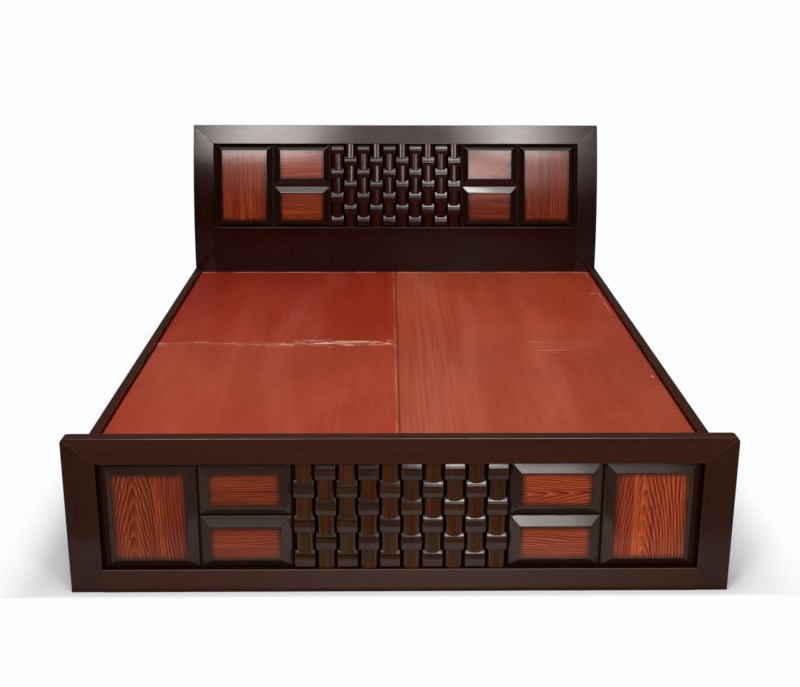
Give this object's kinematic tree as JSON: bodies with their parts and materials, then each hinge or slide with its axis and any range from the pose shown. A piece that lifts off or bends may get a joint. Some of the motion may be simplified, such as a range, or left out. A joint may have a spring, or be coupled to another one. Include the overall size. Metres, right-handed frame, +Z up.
{
  "type": "storage bed",
  "caption": "King-size box bed with a carved basket-weave footboard, a headboard that curves back, and a platform of hinged lids over storage compartments.",
  "frame": {"origin": "centre of the bed's outline on the floor", "axes": "+X to the right as seen from the foot end, +Y from the footboard to the headboard, +Z up"},
  "size_m": [1.88, 2.1564, 1.0289],
  "materials": {
    "dark_stain": "dark wenge-like stain under satin lacquer",
    "red_veneer": "red-brown grained field with edges sprayed dark, under lacquer",
    "lid_laminate": "red-brown faced plywood, scuffed",
    "raw_ply": "bare plywood",
    "raw_pine": "bare softwood",
    "bronzed_steel": "dark bronzed steel"
  },
  "bodies": {
    "bedstead": {"foot_left_stile": "dark_stain", "foot_right_stile": "dark_stain", "foot_top_rail": "dark_stain", "foot_bottom_rail": "dark_stain", "foot_back_panel": "raw_ply", "foot_weave_panel": "dark_stain", "foot_tall_panel_left": "red_veneer", "foot_tall_panel_right": "red_veneer", "foot_small_panel_left_lower": "red_veneer", "foot_small_panel_left_upper": "red_veneer", "foot_small_panel_right_lower": "red_veneer", "foot_small_panel_right_upper": "red_veneer", "head_left_post": "dark_stain", "head_right_post": "dark_stain", "head_top_rail": "dark_stain", "head_lower_board": "dark_stain", "head_back_panel": "raw_ply", "head_weave_panel": "dark_stain", "head_tall_panel_left": "red_veneer", "head_tall_panel_right": "red_veneer", "head_small_panel_left_lower": "red_veneer", "head_small_panel_left_upper": "red_veneer", "head_small_panel_right_lower": "red_veneer", "head_small_panel_right_upper": "red_veneer", "left_side_rail": "dark_stain", "right_side_rail": "dark_stain", "left_lid_cleat": "raw_pine", "right_lid_cleat": "raw_pine", "foot_lid_cleat": "raw_pine", "head_lid_cleat": "raw_pine", "centre_partition": "raw_ply", "left_cross_partition": "raw_ply", "right_cross_bearer": "raw_pine", "floor_bearer_foot": "raw_pine", "floor_bearer_middle": "raw_pine", "floor_bearer_head": "raw_pine", "left_floor_board": "raw_ply", "right_floor_board": "raw_ply", "centre_support_foot": "raw_pine", "foot_left_bracket": "bronzed_steel", "foot_right_bracket": "bronzed_steel", "head_left_bracket": "bronzed_steel", "head_right_bracket": "bronzed_steel", "left_front_lid_hinge_1_rail_leaf": "bronzed_steel", "left_front_lid_hinge_2_rail_leaf": "bronzed_steel", "left_rear_lid_hinge_1_rail_leaf": "bronzed_steel", "left_rear_lid_hinge_2_rail_leaf": "bronzed_steel", "right_lid_hinge_1_rail_leaf": "bronzed_steel", "right_lid_hinge_2_rail_leaf": "bronzed_steel", "right_lid_hinge_3_rail_leaf": "bronzed_steel"},
    "left_front_lid": {"left_front_lid": "lid_laminate", "left_front_lid_hinge_1_lid_leaf": "bronzed_steel", "left_front_lid_hinge_2_lid_leaf": "bronzed_steel"},
    "left_rear_lid": {"left_rear_lid": "lid_laminate", "left_rear_lid_hinge_1_lid_leaf": "bronzed_steel", "left_rear_lid_hinge_2_lid_leaf": "bronzed_steel"},
    "right_lid": {"right_lid": "lid_laminate", "right_lid_hinge_1_lid_leaf": "bronzed_steel", "right_lid_hinge_2_lid_leaf": "bronzed_steel", "right_lid_hinge_3_lid_leaf": "bronzed_steel"}
  },
  "joints": [
    {"name": "left_front_lid_hinge", "type": "hinge", "parent": "bedstead", "child": "left_front_lid", "pos_m": [-0.9114, -0.52557, 0.3523], "axis": [0, -1, 0], "range_deg": [0, 110]},
    {"name": "left_rear_lid_hinge", "type": "hinge", "parent": "bedstead", "child": "left_rear_lid", "pos_m": [-0.9114, 0.46443, 0.3523], "axis": [0, -1, 0], "range_deg": [0, 110]},
    {"name": "right_lid_hinge", "type": "hinge", "parent": "bedstead", "child": "right_lid", "pos_m": [0.9114, -0.05232, 0.3523], "axis": [0, 1, 0], "range_deg": [0, 110]}
  ]
}
